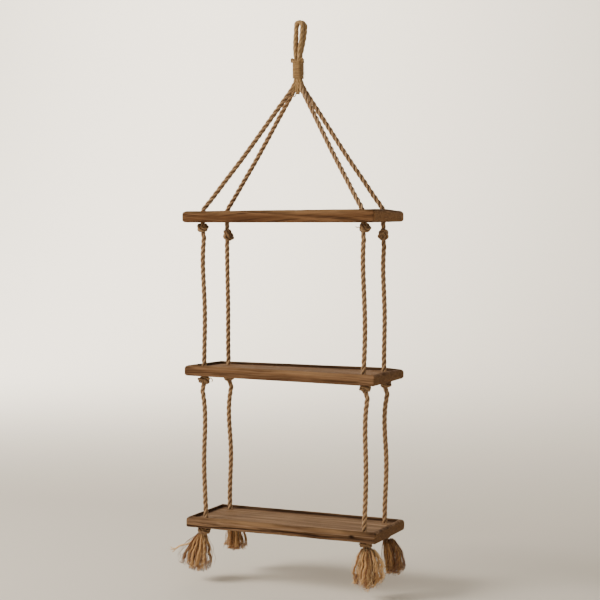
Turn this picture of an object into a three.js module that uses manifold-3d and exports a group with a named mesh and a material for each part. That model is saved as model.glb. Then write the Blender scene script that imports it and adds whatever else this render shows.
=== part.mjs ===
// Rope wall shelf: three wooden tray boards on two knotted three-strand ropes.
// The ropes meet in a bound hanging loop at the top and end in tassels under the lowest board.
// Millimetres, +Z up, front towards -Y, wall towards +Y. The origin is the top of the loop's eye,
// where a hook carries the shelf.
import * as THREE from 'three';
import { mergeVertices } from 'three/addons/utils/BufferGeometryUtils.js';
import Module from 'manifold-3d';

const wasm = await Module();
wasm.setup();

// Boards
const BOARD_WIDTH = 480;
const BOARD_DEPTH = 178;
const BOARD_THICKNESS = 25;
const BOARD_CENTRE_Y = -51;
const BOARD_CENTRES_Z = { top: -442.6, middle: -808.1, bottom: -1160 };
const EDGE_ROUND_UPPER = 11;
const EDGE_ROUND_LOWER_FRONT = 4;
const EDGE_ROUND_LOWER_BACK = 9;
const END_ROUND_UPPER = 10;
const END_ROUND_LOWER = 3;
const RIM_WIDTH = 9;
const TRAY_DEPTH = 6.5;
const TRAY_CORNER = 7;
const HOLE_RADIUS = 6.9;
const HOLE_OUT_X = 203;
const HOLE_OUT_Y = 60;

// Rope
const ROPE_RADIUS = 6;
const ROPE_LAY = 44;
const STRANDS = 3;
const GROOVE_DEPTH = 0.25;
const LOOP_ROPE_RADIUS = 5.2;
const BOUND_ROPE_RADIUS = 4.2;
const TOUCH_GAP = 0.3;
const KNOT_TUBE_SHARE = 0.215;
const KNOT_TILT = THREE.MathUtils.degToRad(34);
const KNOT_CORE_RADIUS = 5.4;
const KNOT_EASE = 0.2;
const KNOT_EXIT_DROP = 25;
const KNOT_EXIT_SHARE = 0.7;
const HOLE_ENTRY_RISE = 6;
const SLANT_END_Z = -425;

// Binding
const BINDING_Y = -12;
const BINDING_TOP = -79;
const BINDING_BOTTOM = -127;
const BINDING_BORE = 11.3;
const BINDING_RADIUS = 12.6;
const BINDING_TURNS = 9;
const TWINE_RELIEF = 0.6;
const COLLAR_HEIGHT = 7;
const COLLAR_RADIUS = 13.6;
const COLLAR_KNOT_RADIUS = 3.6;
const BINDING_LIP = 0.8;
const BUNDLE_OFFSET = 4.4;

// Tassels
const TASSEL_NECK_RADIUS = 7;
const TASSEL_NECK_HEIGHT = 6;
const TASSEL_STRAND_RADIUS = 1.8;
const TASSEL_STRANDS = 21;
const TASSEL_BELLY_AT = 0.45;
const TASSEL_ROOT_RISE = 1.5;
const TASSEL_ROOT_SPREAD = 5.7;
const GOLDEN_ANGLE = Math.PI * (3 - Math.sqrt(5));

const LEGS = [
  { leg: 'front_left', side: -1, y: BOARD_CENTRE_Y - HOLE_OUT_Y, row: -1 },
  { leg: 'rear_left', side: -1, y: BOARD_CENTRE_Y + HOLE_OUT_Y, row: 1 },
  { leg: 'front_right', side: 1, y: BOARD_CENTRE_Y - HOLE_OUT_Y, row: -1 },
  { leg: 'rear_right', side: 1, y: BOARD_CENTRE_Y + HOLE_OUT_Y, row: 1 },
];

// Each knot: how far it hangs under its board, its height, its width and its turn about the rope.
const KNOTS = [
  { leg: 'front_left', board: 'top', drop: 0, height: 22, width: 27, turn: 200 },
  { leg: 'rear_left', board: 'top', drop: 17, height: 26, width: 26, turn: 15 },
  { leg: 'front_right', board: 'top', drop: 0, height: 22, width: 26, turn: 40 },
  { leg: 'rear_right', board: 'top', drop: 18, height: 26, width: 24, turn: 215 },
  { leg: 'front_left', board: 'middle', drop: 0, height: 18, width: 30, turn: 190 },
  { leg: 'rear_left', board: 'middle', drop: 0, height: 21, width: 26, turn: 30 },
  { leg: 'front_right', board: 'middle', drop: 0, height: 16, width: 27, turn: 205 },
  { leg: 'rear_right', board: 'middle', drop: 0, height: 22, width: 26, turn: 20 },
  { leg: 'front_left', board: 'bottom', drop: 0, height: 18, width: 30, turn: 35 },
  { leg: 'rear_left', board: 'bottom', drop: 0, height: 20, width: 26, turn: 80 },
  { leg: 'front_right', board: 'bottom', drop: 0, height: 18, width: 28, turn: 195 },
  { leg: 'rear_right', board: 'bottom', drop: 0, height: 20, width: 26, turn: 10 },
];

// Sideways bow of each hanging run: where it leaves the knot above it, and halfway down.
const RUNS = [
  { leg: 'front_left', above: 'top', below: 'middle', topShift: 4.5, midShift: 3 },
  { leg: 'rear_left', above: 'top', below: 'middle', topShift: -0.5, midShift: 0.5 },
  { leg: 'front_right', above: 'top', below: 'middle', topShift: 1.5, midShift: 3.5 },
  { leg: 'rear_right', above: 'top', below: 'middle', topShift: 0.5, midShift: 2 },
  { leg: 'front_left', above: 'middle', below: 'bottom', topShift: -5, midShift: -3 },
  { leg: 'rear_left', above: 'middle', below: 'bottom', topShift: 4.5, midShift: 4 },
  { leg: 'front_right', above: 'middle', below: 'bottom', topShift: 5, midShift: 3.5 },
  { leg: 'rear_right', above: 'middle', below: 'bottom', topShift: 3, midShift: 3.5 },
];

// Height of each point of a slanted leg, and how far it has spread from the binding to its hole.
const SLANT = [
  { z: -103.3, spread: 0 },
  { z: -126, spread: 0 },
  { z: -142, spread: 0.022 },
  { z: -168, spread: 0.098 },
  { z: -311, spread: 0.575 },
  { z: -418, spread: 0.955 },
  { z: -431, spread: 0.994 },
  { z: -440, spread: 1 },
];
const SLANT_SQUEEZED_TO = -126;
const SLANT_FULL_FROM = -152;

// The loop's two ropes: half the distance between the two legs at each height on the way up.
const LOOPS = [
  { name: 'front', row: -1, crown: 7.6, legs: [[-82, 4.4], [-70, 5.1], [-60, 5.8], [-41, 7.4], [-18, 7.7]] },
  { name: 'rear', row: 1, crown: 11, legs: [[-82, 4.4], [-70, 5.1], [-60, 6.4], [-41, 9.2], [-18, 10.9]] },
];
const LOOP_END_Z = -103;
const LOOP_ROW_OFFSET = 5.4;
const LOOP_SQUEEZED_FROM = -82;
const LOOP_FULL_TO = -58;
const CROWN_POINTS = 5;

// Each tassel: how far its tips lean from its neck, half its width at the belly's control points
// and at the tips, and its length.
const TASSELS = [
  { leg: 'front_left', leanX: -16, leanY: -5, bellyX: 42, bellyY: 34, tipX: 23, tipY: 18, length: 86 },
  { leg: 'rear_left', leanX: 9, leanY: -3, bellyX: 26, bellyY: 22, tipX: 21, tipY: 17, length: 54 },
  { leg: 'front_right', leanX: 7, leanY: -2, bellyX: 54, bellyY: 44, tipX: 21, tipY: 17, length: 88 },
  { leg: 'rear_right', leanX: 24, leanY: -4, bellyX: 34, bellyY: 26, tipX: 17, tipY: 14, length: 78 },
];
// The yarn that has come loose from the front left tassel: its root beside the neck, and its tip.
const STRAY_YARN = { leg: 'front_left', rootZ: -2.5, x: -94, y: -8, z: -50 };

const woodMaterial = new THREE.MeshStandardMaterial({ color: 0x7d5a3a, roughness: 0.75, metalness: 0 });
const ropeMaterial = new THREE.MeshStandardMaterial({ color: 0xb08b5e, roughness: 0.95, metalness: 0 });
const twineMaterial = new THREE.MeshStandardMaterial({ color: 0xb5925f, roughness: 0.95, metalness: 0 });
const tasselMaterial = new THREE.MeshStandardMaterial({ color: 0xb48a58, roughness: 0.95, metalness: 0 });

const shelf = new THREE.Group();

function addPiece(name, geometry, material) {
  const mesh = new THREE.Mesh(geometry, material.clone());
  mesh.name = name;
  shelf.add(mesh);
}

// A closed geometry as a solid that can be joined and cut.
function solidOf(geometry) {
  const bare = geometry.clone();
  bare.deleteAttribute('normal');
  bare.deleteAttribute('uv');
  const merged = mergeVertices(bare, 1e-4);
  return new wasm.Manifold(new wasm.Mesh({
    numProp: 3,
    vertProperties: new Float32Array(merged.attributes.position.array),
    triVerts: new Uint32Array(merged.index.array),
  }));
}

function geometryOf(solid) {
  const mesh = solid.getMesh();
  const geometry = new THREE.BufferGeometry();
  geometry.setAttribute('position', new THREE.BufferAttribute(new Float32Array(mesh.vertProperties), 3));
  geometry.setIndex(new THREE.BufferAttribute(new Uint32Array(mesh.triVerts), 1));
  geometry.computeVertexNormals();
  return geometry;
}

function joined(geometries) {
  return geometryOf(geometries.map(solidOf).reduce((sum, next) => sum.add(next)));
}

// A closed tube along a curve. Its section is a ring of radii, scaled by radiusAt(u) and turned
// by twist radians over the whole length, so that the ridges run round it as helices.
function sweep(curve, section, steps, radiusAt, twist = 0) {
  const frames = curve.computeFrenetFrames(steps, false);
  const sides = section.length;
  const points = [];
  const faces = [];
  const place = new THREE.Vector3();
  for (let step = 0; step <= steps; step += 1) {
    const u = step / steps;
    const centre = curve.getPointAt(u);
    for (let side = 0; side < sides; side += 1) {
      const angle = (side / sides) * 2 * Math.PI + twist * u;
      const radius = section[side] * radiusAt(u, centre);
      place.copy(centre)
        .addScaledVector(frames.normals[step], Math.cos(angle) * radius)
        .addScaledVector(frames.binormals[step], Math.sin(angle) * radius);
      points.push(place.x, place.y, place.z);
    }
  }
  for (let step = 0; step < steps; step += 1) {
    for (let side = 0; side < sides; side += 1) {
      const next = (side + 1) % sides;
      const a = step * sides + side;
      const b = step * sides + next;
      faces.push(a, b, a + sides);
      faces.push(b, b + sides, a + sides);
    }
  }
  for (const [step, flip] of [[0, true], [steps, false]]) {
    const centre = curve.getPointAt(step / steps);
    const hub = points.length / 3;
    points.push(centre.x, centre.y, centre.z);
    for (let side = 0; side < sides; side += 1) {
      const a = step * sides + side;
      const b = step * sides + ((side + 1) % sides);
      faces.push(hub, flip ? b : a, flip ? a : b);
    }
  }
  const geometry = new THREE.BufferGeometry();
  geometry.setAttribute('position', new THREE.Float32BufferAttribute(points, 3));
  geometry.setIndex(faces);
  geometry.computeVertexNormals();
  return geometry;
}

// Rope: three ridges and three grooves, right-laid.
function rope(points, radiusAt) {
  const curve = new THREE.CatmullRomCurve3(points, false, 'centripetal');
  const section = Array.from({ length: 2 * STRANDS }, (_, i) => (i % 2 ? 1 - GROOVE_DEPTH : 1));
  const length = curve.getLength();
  const steps = Math.round(length / (ROPE_LAY / (2 * STRANDS)));
  return sweep(curve, section, steps, radiusAt, (2 * Math.PI * length) / ROPE_LAY);
}

function smooth(value, low, high) {
  return THREE.MathUtils.smoothstep(value, low, high);
}

function undersideOf(board) {
  return BOARD_CENTRES_Z[board] - BOARD_THICKNESS / 2;
}

function knotOf(leg, board) {
  return KNOTS.find((knot) => knot.leg === leg && knot.board === board);
}

function knotTop(knot) {
  return undersideOf(knot.board) - TOUCH_GAP - knot.drop;
}

// Board: a cross-section with rounded long edges, run along X, with a routed tray and rope holes.
function boardProfile() {
  const half = BOARD_DEPTH / 2;
  const top = BOARD_THICKNESS / 2;
  const upper = EDGE_ROUND_UPPER;
  const front = EDGE_ROUND_LOWER_FRONT;
  const back = EDGE_ROUND_LOWER_BACK;
  const profile = new THREE.Shape();
  profile.moveTo(-half + front, -top);
  profile.lineTo(half - back, -top);
  profile.absarc(half - back, -top + back, back, -Math.PI / 2, 0, false);
  profile.lineTo(half, top - upper);
  profile.absarc(half - upper, top - upper, upper, 0, Math.PI / 2, false);
  profile.lineTo(-half + upper, top);
  profile.absarc(-half + upper, top - upper, upper, Math.PI / 2, Math.PI, false);
  profile.lineTo(-half, -top + front);
  profile.absarc(-half + front, -top + front, front, Math.PI, 1.5 * Math.PI, false);
  return profile;
}

function roundedRectangle(width, depth, corner) {
  const x = width / 2;
  const y = depth / 2;
  const outline = new THREE.Shape();
  outline.moveTo(-x + corner, -y);
  outline.lineTo(x - corner, -y);
  outline.absarc(x - corner, -y + corner, corner, -Math.PI / 2, 0, false);
  outline.lineTo(x, y - corner);
  outline.absarc(x - corner, y - corner, corner, 0, Math.PI / 2, false);
  outline.lineTo(-x + corner, y);
  outline.absarc(-x + corner, y - corner, corner, Math.PI / 2, Math.PI, false);
  outline.lineTo(-x, -y + corner);
  outline.absarc(-x + corner, -y + corner, corner, Math.PI, 1.5 * Math.PI, false);
  return outline;
}

// A block with rounded corners top and bottom, run along Y: it rounds over the ends of the slab.
function endProfile() {
  const half = BOARD_WIDTH / 2;
  const top = BOARD_THICKNESS / 2;
  const upper = END_ROUND_UPPER;
  const lower = END_ROUND_LOWER;
  const profile = new THREE.Shape();
  profile.moveTo(-half + lower, -top);
  profile.lineTo(half - lower, -top);
  profile.absarc(half - lower, -top + lower, lower, -Math.PI / 2, 0, false);
  profile.lineTo(half, top - upper);
  profile.absarc(half - upper, top - upper, upper, 0, Math.PI / 2, false);
  profile.lineTo(-half + upper, top);
  profile.absarc(-half + upper, top - upper, upper, Math.PI / 2, Math.PI, false);
  profile.lineTo(-half, -top + lower);
  profile.absarc(-half + lower, -top + lower, lower, Math.PI, 1.5 * Math.PI, false);
  return profile;
}

function boardGeometry() {
  const slab = new THREE.ExtrudeGeometry(boardProfile(), { depth: 2 * BOARD_WIDTH, curveSegments: 4, bevelEnabled: false });
  slab.translate(0, 0, -BOARD_WIDTH);
  slab.rotateY(Math.PI / 2);
  slab.rotateX(Math.PI / 2);
  const ends = new THREE.ExtrudeGeometry(endProfile(), { depth: 2 * BOARD_DEPTH, curveSegments: 4, bevelEnabled: false });
  ends.translate(0, 0, -BOARD_DEPTH);
  ends.rotateX(Math.PI / 2);
  const trayOutline = roundedRectangle(BOARD_WIDTH - 2 * RIM_WIDTH, BOARD_DEPTH - 2 * RIM_WIDTH, TRAY_CORNER);
  const tray = new THREE.ExtrudeGeometry(trayOutline, { depth: BOARD_THICKNESS, curveSegments: 2, bevelEnabled: false });
  tray.translate(0, 0, BOARD_THICKNESS / 2 - TRAY_DEPTH);
  let solid = solidOf(slab).intersect(solidOf(ends)).subtract(solidOf(tray));
  for (const { side, row } of LEGS) {
    const drill = new THREE.CylinderGeometry(HOLE_RADIUS, HOLE_RADIUS, 2 * BOARD_THICKNESS, 12);
    drill.rotateX(Math.PI / 2);
    drill.translate(side * HOLE_OUT_X, row * HOLE_OUT_Y, 0);
    solid = solid.subtract(solidOf(drill));
  }
  return geometryOf(solid);
}

for (const [board, z] of Object.entries(BOARD_CENTRES_Z)) {
  addPiece(`board_${board}`, boardGeometry().translate(0, BOARD_CENTRE_Y, z), woodMaterial);
}

// Knot: the rope crosses over itself in two tilted turns round a core of rope.
function knotGeometry({ height, width, turn }) {
  const tube = KNOT_TUBE_SHARE * width;
  const ring = width / 2 - tube;
  const lift = ring * Math.sin(KNOT_TILT) + tube;
  const turns = [KNOT_TILT, -KNOT_TILT].map((angle) => {
    const torus = new THREE.TorusGeometry(ring, tube, 5, 7);
    torus.rotateZ(angle);
    torus.rotateX(angle);
    return torus.scale(1, 1, (height / 2 - KNOT_EASE) / lift);
  });
  const core = new THREE.CylinderGeometry(KNOT_CORE_RADIUS, KNOT_CORE_RADIUS, height, 6);
  core.rotateX(Math.PI / 2);
  return joined([...turns, core]).rotateZ(THREE.MathUtils.degToRad(turn));
}

for (const knot of KNOTS) {
  const leg = LEGS.find(({ leg: name }) => name === knot.leg);
  const geometry = knotGeometry(knot);
  geometry.translate(leg.side * HOLE_OUT_X, leg.y, knotTop(knot) - knot.height / 2);
  addPiece(`knot_${knot.board}_${knot.leg}`, geometry, ropeMaterial);
}

// Slanted leg: from inside the binding out to just above the top board. Its entry then bends into
// the hole and goes down to the knot under the board.
for (const { leg, side, y, row } of LEGS) {
  const start = new THREE.Vector3(side * BUNDLE_OFFSET, BINDING_Y + row * BUNDLE_OFFSET, 0);
  const hole = new THREE.Vector3(side * HOLE_OUT_X, y, 0);
  const placed = SLANT.map(({ z, spread }) => start.clone().lerp(hole, spread).setZ(z));
  const above = placed.findLast(({ z }) => z > SLANT_END_Z);
  const below = placed.find(({ z }) => z < SLANT_END_Z);
  const meeting = (z) => above.clone().lerp(below, (above.z - z) / (above.z - below.z));
  const swell = ROPE_RADIUS - BOUND_ROPE_RADIUS;
  const radiusAt = (u, { z }) => ROPE_RADIUS - swell * smooth(z, SLANT_FULL_FROM, SLANT_SQUEEZED_TO);
  const slanted = [...placed.filter(({ z }) => z > SLANT_END_Z), meeting(SLANT_END_Z)];
  addPiece(`rope_slant_${leg}`, rope(slanted, radiusAt), ropeMaterial);
  const end = knotTop(knotOf(leg, 'top')) + TOUCH_GAP;
  const entering = [meeting(SLANT_END_Z - TOUCH_GAP), ...placed.filter(({ z }) => z < SLANT_END_Z), hole.clone().setZ(end)];
  addPiece(`rope_entry_${leg}`, rope(entering, () => ROPE_RADIUS), ropeMaterial);
}

// Hanging run: from the knot under one board, through the next board, to the knot under that.
for (const { leg, above, below, topShift, midShift } of RUNS) {
  const { side, y } = LEGS.find(({ leg: name }) => name === leg);
  const x = side * HOLE_OUT_X;
  const upper = knotOf(leg, above);
  const start = knotTop(upper) - upper.height - TOUCH_GAP;
  const end = knotTop(knotOf(leg, below)) + TOUCH_GAP;
  const middle = (start + end) / 2;
  const boardTop = BOARD_CENTRES_Z[below] + BOARD_THICKNESS / 2;
  const route = [
    { shift: topShift * KNOT_EXIT_SHARE, z: start },
    { shift: topShift, z: start - KNOT_EXIT_DROP },
    { shift: midShift, z: middle },
    { shift: 0, z: boardTop + HOLE_ENTRY_RISE },
    { shift: 0, z: end },
  ];
  const line = route.map(({ shift, z }) => new THREE.Vector3(x + shift, y, z));
  addPiece(`rope_run_${below}_${leg}`, rope(line, () => ROPE_RADIUS), ropeMaterial);
}

// Loop: the front and the rear rope lie side by side over the hook.
for (const { name, row, crown, legs } of LOOPS) {
  const crownZ = LOOP_ROPE_RADIUS - crown;
  const leanAt = (z) => BINDING_Y * (1 - smooth(z, BINDING_TOP, 0));
  const offsetAt = (z) => THREE.MathUtils.lerp(BUNDLE_OFFSET, LOOP_ROW_OFFSET, smooth(z, LOOP_SQUEEZED_FROM, LOOP_FULL_TO));
  const place = (x, z) => new THREE.Vector3(x, leanAt(z) + row * offsetAt(z), z);
  const climb = [[LOOP_END_Z, BUNDLE_OFFSET], ...legs];
  const arc = Array.from({ length: CROWN_POINTS }, (_, i) => Math.PI * (1 - i / (CROWN_POINTS - 1)));
  const points = [
    ...climb.map(([z, x]) => place(-x, z)),
    ...arc.map((angle) => place(crown * Math.cos(angle), crownZ + crown * Math.sin(angle))),
    ...climb.toReversed().map(([z, x]) => place(x, z)),
  ];
  const squeeze = LOOP_ROPE_RADIUS - BOUND_ROPE_RADIUS;
  const radiusAt = (u, { z }) => BOUND_ROPE_RADIUS + squeeze * smooth(z, LOOP_SQUEEZED_FROM, LOOP_FULL_TO);
  addPiece(`rope_loop_${name}`, rope(points, radiusAt), ropeMaterial);
}

// Binding: twine wound close round the four legs, with a thicker collar and its two end knots.
function bindingGeometry() {
  const profile = [new THREE.Vector2(BINDING_BORE, BINDING_BOTTOM)];
  const woundTop = BINDING_TOP - COLLAR_HEIGHT;
  const pitch = (woundTop - BINDING_BOTTOM) / BINDING_TURNS;
  for (let turn = 0; turn < BINDING_TURNS; turn += 1) {
    const z = BINDING_BOTTOM + turn * pitch;
    profile.push(new THREE.Vector2(BINDING_RADIUS - TWINE_RELIEF, z));
    profile.push(new THREE.Vector2(BINDING_RADIUS + TWINE_RELIEF / 2, z + pitch / 2));
  }
  profile.push(new THREE.Vector2(BINDING_RADIUS - TWINE_RELIEF, woundTop));
  profile.push(new THREE.Vector2(COLLAR_RADIUS, woundTop + COLLAR_HEIGHT * 0.3));
  profile.push(new THREE.Vector2(COLLAR_RADIUS, BINDING_TOP - COLLAR_HEIGHT * 0.3));
  profile.push(new THREE.Vector2(BINDING_BORE + BINDING_LIP, BINDING_TOP));
  profile.push(new THREE.Vector2(BINDING_BORE, BINDING_TOP - BINDING_LIP));
  profile.push(profile[0].clone());
  const sleeve = new THREE.LatheGeometry(profile, 10);
  sleeve.rotateX(Math.PI / 2);
  const endKnots = [-1, 1].map((side) => {
    const knob = new THREE.IcosahedronGeometry(COLLAR_KNOT_RADIUS, 1);
    return knob.translate(side * COLLAR_RADIUS, 0, BINDING_TOP - COLLAR_HEIGHT / 2);
  });
  return joined([sleeve, ...endKnots]).translate(0, BINDING_Y, 0);
}
addPiece('binding', bindingGeometry(), twineMaterial);

// Tassel: the rope's unlaid end. Strands spread evenly over the neck, swell out to a belly and
// draw in again towards their tips.
function tasselStrand(from, belly, to) {
  const line = new THREE.QuadraticBezierCurve3(from, belly, to);
  const swellAt = (u) => 0.55 + 0.45 * Math.sin(Math.PI * Math.min(1, 0.85 * u));
  return sweep(line, [1, 1, 1], 3, (u) => TASSEL_STRAND_RADIUS * swellAt(u));
}

function tasselGeometry({ leanX, leanY, bellyX, bellyY, tipX, tipY, length }) {
  const neck = new THREE.CylinderGeometry(TASSEL_ROOT_SPREAD, TASSEL_NECK_RADIUS, TASSEL_NECK_HEIGHT, 7);
  neck.rotateX(Math.PI / 2).translate(0, 0, -TASSEL_NECK_HEIGHT / 2);
  const pieces = [neck];
  for (let i = 0; i < TASSEL_STRANDS; i += 1) {
    const out = Math.sqrt((i + 0.5) / TASSEL_STRANDS);
    const angle = i * GOLDEN_ANGLE;
    const x = out * Math.cos(angle);
    const y = out * Math.sin(angle);
    const from = new THREE.Vector3(x * TASSEL_ROOT_SPREAD, y * TASSEL_ROOT_SPREAD, TASSEL_ROOT_RISE - TASSEL_NECK_HEIGHT);
    const drop = length * (1 - 0.2 * out * out - 0.06 * Math.sin(5 * i));
    const to = new THREE.Vector3(leanX + x * tipX, leanY + y * tipY, -TASSEL_NECK_HEIGHT - drop);
    const belly = new THREE.Vector3(leanX / 2 + x * bellyX, leanY / 2 + y * bellyY, -TASSEL_NECK_HEIGHT - drop * TASSEL_BELLY_AT);
    pieces.push(tasselStrand(from, belly, to));
  }
  return joined(pieces);
}

for (const tassel of TASSELS) {
  const { side, y } = LEGS.find(({ leg }) => leg === tassel.leg);
  const knot = knotOf(tassel.leg, 'bottom');
  const top = knotTop(knot) - knot.height - TOUCH_GAP;
  addPiece(`tassel_${tassel.leg}`, tasselGeometry(tassel).translate(side * HOLE_OUT_X, y, top), tasselMaterial);
  if (tassel.leg === STRAY_YARN.leg) {
    const from = new THREE.Vector3(-TASSEL_NECK_RADIUS - TOUCH_GAP, 0, STRAY_YARN.rootZ);
    const to = new THREE.Vector3(STRAY_YARN.x, STRAY_YARN.y, STRAY_YARN.z);
    const middle = from.clone().lerp(to, 0.4).add(new THREE.Vector3(0.3 * (to.x - from.x), 0.3 * (to.y - from.y), 0));
    const yarn = tasselStrand(from, middle, to).translate(side * HOLE_OUT_X, y, top);
    addPiece(`stray_yarn_${tassel.leg}`, yarn, tasselMaterial);
  }
}

export default shelf;
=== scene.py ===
# Rope wall shelf: three worn wooden tray boards on two knotted three-strand ropes,
# with a twine binding under the hanging loop and frayed tassels under the lowest board.
# The sums are in millimetres and the meshes in metres, in the frame of the part.
import math
import bpy
import numpy as np
from mathutils import Matrix


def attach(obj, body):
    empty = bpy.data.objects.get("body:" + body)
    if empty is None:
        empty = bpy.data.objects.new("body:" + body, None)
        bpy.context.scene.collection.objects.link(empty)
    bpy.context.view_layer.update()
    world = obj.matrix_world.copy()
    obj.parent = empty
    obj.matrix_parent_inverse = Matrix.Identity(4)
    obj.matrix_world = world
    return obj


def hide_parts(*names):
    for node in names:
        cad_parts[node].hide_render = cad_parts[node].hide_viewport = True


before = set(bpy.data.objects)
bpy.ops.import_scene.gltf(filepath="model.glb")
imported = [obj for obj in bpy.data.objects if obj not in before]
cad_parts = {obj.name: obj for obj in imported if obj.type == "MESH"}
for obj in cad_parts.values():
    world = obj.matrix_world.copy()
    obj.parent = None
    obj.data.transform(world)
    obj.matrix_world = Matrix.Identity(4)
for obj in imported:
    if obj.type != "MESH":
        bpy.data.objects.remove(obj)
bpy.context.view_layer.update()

# Boards
BOARD_WIDTH = {"top": 486.0, "middle": 483.5, "bottom": 482.5}
BOARD_DEPTH = 178.0
BOARD_THICKNESS = {"top": 28.4, "middle": 25.0, "bottom": 25.0}
BOARD_CENTRE_Y = -51.0
BOARD_CENTRES_Z = {"top": -443.9, "middle": -808.1, "bottom": -1160.0}
EDGE_ROUND_UPPER = 11.0
EDGE_ROUND_LOWER_FRONT = 4.0
EDGE_ROUND_LOWER_BACK = 9.0
END_ROUND_UPPER = 10.0
# The lower rounding of each board's left and right end.
END_ROUND_LOWER = {"top": (11.0, 6.5), "middle": (9.5, 7.0), "bottom": (3.0, 3.0)}
CORNER_ROUND = {"top": 5.0, "middle": 5.0, "bottom": 3.5}
# How far the worn rear corner of each board's right end has sunk.
CORNER_SUNK = {"top": 4.5, "middle": 2.5, "bottom": 0.0}
# Where along Y that corner starts and ends to sink, and how far along X from the end it reaches.
CORNER_SUNK_ALONG_Y = (-30, 80)
CORNER_SUNK_LENGTH = 48
# The share by which each board is thicker at its right end and thinner at its left one.
BOARD_WEDGE = {"top": 0.06, "middle": 0.0, "bottom": 0.0}
# How far each board's front left corner has warped upwards.
CORNER_LIFT = {"top": 0.0, "middle": 5.5, "bottom": 0.0}
RIM_WIDTH = 9.0
TRAY_DEPTH = 6.5
TRAY_CORNER = 7.0
TRAY_WALL_LEAN = 1.0
# Where the tray's walls get a row of points, from the rim inwards.
TRAY_WALL_STEPS = np.array([0, 0.12, 0.35, 0.65, 0.88, 1.0]) * TRAY_WALL_LEAN
HOLE_RADIUS = 6.9
HOLE_OUT_X = 203.0
# The angle in degrees from which a board's edges are drawn sharp.
SHARP_FROM = 48
# How deep the brushed grain stands out on each board's faces.
GRAIN_RELIEF = {"top": 0.30, "middle": 0.25, "bottom": 0.75}
# How much the grain lines climb along X.
GRAIN_SLOPE = {"top": 0.10, "middle": 0.015, "bottom": -0.01}
GRAIN_SEED = {"top": 11, "middle": 23, "bottom": 5}
# The dark knot in the bottom board's front: its X and Z, and half its width and height.
SCAR_PLACE = (184, 0.5)
SCAR_SIZE = (7.5, 4.6)
# Each board's wood: where its pattern starts, its tint, the strength of its dark streaks, how dark the
# valleys of its grain are, and how light its end grain is.
WOODS = {
    "top": dict(place=(0.3, 0.1, 0.7), tint=(0.92, 0.84, 0.80), contrast=0.7, valley=0.5, end=1.3),
    "middle": dict(place=(1.7, 0.5, 0.2), tint=(1.12, 1.13, 1.24), contrast=0.6, valley=0.45, end=0.95),
    "bottom": dict(place=(2.9, 1.3, 0.4), tint=(1.30, 1.43, 1.76), contrast=0.85, valley=0.95, end=0.88),
}

# Rope
ROPE_RADIUS = 6.0
ROPE_LAY = 44.0
STRAND_SHARE = 0.525
LOOP_ROPE_RADIUS = 5.2
BOUND_ROPE_RADIUS = 4.3
KNOT_ROPE_RADIUS = 5.5
ROPE_STEP = 2.2
ROPE_SIDES = 36
TOUCH_GAP = 0.3
KNOT_EXIT_DROP = 25.0
KNOT_EXIT_SHARE = 0.7
HOLE_ENTRY_RISE = 6.0
# Heights between which the rope turns from open strands to the loop's felted ones.
FELTED_BETWEEN = (-165, -120)
FUZZ_SEED = 77
FUZZ_ON_ROPE = 900
FUZZ_ON_BINDING = 260

# Binding
BINDING_Y = -12.0
BINDING_TOP = -79.0
BINDING_BOTTOM = -127.0
COLLAR_HEIGHT = 9.0
BUNDLE_OFFSET = 4.4
BUNDLE_RADIUS = 15.5
TWINE_RADIUS = 1.05
TWINE_PITCH = 2.0
TWINE_LAY = 7.0

# Each leg: its side, the Y of its holes, and its row in the binding.
LEGS = {
    "front_left": (-1, -111.0, -1),
    "rear_left": (-1, 9.0, 1),
    "front_right": (1, -111.0, -1),
    "rear_right": (1, 9.0, 1),
}
# Each knot: how far it hangs under its board, its height, its width, its turn about the rope, and how
# far its middle is pushed sideways.
KNOTS = {
    ("front_left", "top"): (0, 22, 31, 20, -1),
    ("rear_left", "top"): (17, 28, 32, 75, 3),
    ("front_right", "top"): (0, 23, 30, 40, 5),
    ("rear_right", "top"): (16, 28, 29, 215, 1),
    ("front_left", "middle"): (-3.5, 20, 33, 190, 0),
    ("rear_left", "middle"): (0, 21, 29, 30, 0),
    ("front_right", "middle"): (0, 16, 31, 205, 5),
    ("rear_right", "middle"): (0, 20, 29, 20, 4),
    ("front_left", "bottom"): (0, 19, 35, 35, -7),
    ("rear_left", "bottom"): (0, 20, 28, 80, 0),
    ("front_right", "bottom"): (0, 18, 34, 195, 5),
    ("rear_right", "bottom"): (0, 20, 28, 10, 0),
}
# Sideways bow of each hanging run: where it leaves the knot above it, and halfway down.
RUNS = {
    ("front_left", "middle"): (2.0, 3.0),
    ("rear_left", "middle"): (-0.5, 0.5),
    ("front_right", "middle"): (1.5, 3.5),
    ("rear_right", "middle"): (0.5, 2.0),
    ("front_left", "bottom"): (-3.5, -3.0),
    ("rear_left", "bottom"): (4.5, 4.0),
    ("front_right", "bottom"): (7.5, 4.5),
    ("rear_right", "bottom"): (5.5, 4.5),
}
# Height of each point of a slanted leg, and how far it has spread from the binding to its hole.
SLANT = [
    (-126, 0.0), (-142, 0.022), (-168, 0.098), (-240, 0.338), (-311, 0.575),
    (-365, 0.766), (-418, 0.955), (-431, 0.994), (-440, 1.0),
]
SLANT_SQUEEZED_TO = -126.0
SLANT_FULL_FROM = -150.0
# The loop's two ropes: which row, the crown's half width, and half the distance between the legs on
# the way up.
LOOPS = {
    "front": (-1, 7.6, [(-82, 4.4), (-70, 5.1), (-60, 5.8), (-41, 7.4), (-18, 7.7)]),
    "rear": (1, 11.0, [(-82, 4.4), (-70, 5.1), (-60, 6.4), (-41, 9.2), (-18, 10.9)]),
}
LOOP_ROW_OFFSET = 5.4
LOOP_SQUEEZED_FROM = -82.0
LOOP_FULL_TO = -58.0
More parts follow.
